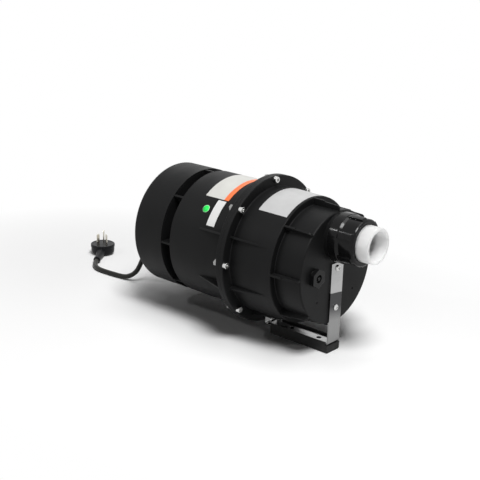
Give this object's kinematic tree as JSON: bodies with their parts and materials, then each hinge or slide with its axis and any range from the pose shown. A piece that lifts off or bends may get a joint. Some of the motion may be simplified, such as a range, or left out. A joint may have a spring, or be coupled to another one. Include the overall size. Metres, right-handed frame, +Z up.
{
  "type": "air blower",
  "caption": "Through-flow electric air blower in a stepped round black housing with a bolted flange, ring intake, threaded union outlet, strap bracket on a rubber foot, and mains cord with plug.",
  "frame": {"origin": "on the surface the blower stands on, under the centre of its bounding box measured without the cord", "axes": "+X along the blower's axis towards the outlet, +Z up, +Y to the left when looking along +X"},
  "size_m": [0.598, 0.204, 0.2195],
  "materials": {
    "housing_plastic": "satin black moulded plastic",
    "nut_plastic": "glossy black moulded plastic",
    "white_pvc": "white pipe plastic",
    "rubber_black": "matt black rubber",
    "foam": "open-cell dark foam",
    "bolt_steel": "bright zinc-plated steel",
    "strap_steel": "bright rolled stainless strap",
    "bearing_steel": "ground steel",
    "sheet_aluminium": "drawn aluminium sheet",
    "lamination_steel": "dark varnished lamination stack",
    "cast_aluminium": "die-cast aluminium",
    "winding_copper": "enamelled copper",
    "pin_brass": "plated brass",
    "carbon": "carbon brush",
    "terminal_plastic": "cream terminal block",
    "cord_pvc": "soft black cord sheath"
  },
  "bodies": {
    "housing": {"rear_cap": "housing_plastic", "cap_screws": "bolt_steel", "baffle_plate": "housing_plastic", "cap_foam": "foam", "intake_foam": "foam", "barrel": "housing_plastic", "flange_seal": "rubber_black", "front_housing": "housing_plastic", "flange_bolts": "bolt_steel", "flange_nuts": "bolt_steel", "union_seal": "rubber_black", "hex_plug": "nut_plastic", "plug_washer": "rubber_black", "bracket": "strap_steel", "bracket_screws": "bolt_steel", "foot": "rubber_black", "cord_gland": "cord_pvc", "gland_nut": "nut_plastic", "cord": "cord_pvc", "plug_body": "cord_pvc", "plug_pins": "pin_brass", "mount_ring_rear": "rubber_black", "mount_ring_front": "rubber_black", "fan_can": "sheet_aluminium", "diffuser": "cast_aluminium", "bearing_fan_end": "bearing_steel", "bearing_brush_end": "bearing_steel", "fan_end_bracket": "cast_aluminium", "brush_end_bracket": "cast_aluminium", "motor_bolts": "bolt_steel", "stator_core": "lamination_steel", "field_coils": "winding_copper", "brush_holders": "pin_brass", "carbon_brushes": "carbon", "brush_springs": "bearing_steel", "terminal_block": "terminal_plastic", "inner_leads": "cord_pvc", "lead_grommets": "rubber_black"},
    "rotor": {"shaft": "bearing_steel", "impeller_1": "cast_aluminium", "impeller_2": "cast_aluminium", "fan_spacers": "bearing_steel", "shaft_nut": "bolt_steel", "armature_core": "lamination_steel", "armature_windings": "winding_copper", "commutator": "winding_copper"},
    "tail": {"tailpiece": "white_pvc"},
    "nut": {"union_nut": "nut_plastic"}
  },
  "joints": [
    {"name": "rotor_spin", "type": "hinge", "parent": "housing", "child": "rotor", "pos_m": [0, 0, 0.1175], "axis": [1, 0, 0], "continuous": true},
    {"name": "tail_draw", "type": "slide", "parent": "housing", "child": "tail", "axis": [1, 0, 0], "range_m": [0, 0.01]},
    {"name": "nut_turn", "type": "hinge", "parent": "tail", "child": "nut", "pos_m": [0.138, 0, 0.1604], "axis": [1, 0, 0], "range_deg": [0, 1200]}
  ],
  "couplings": [
    {"joint": "tail_draw", "follows": "nut_turn", "m_per_rad": 0.00047746}
  ]
}
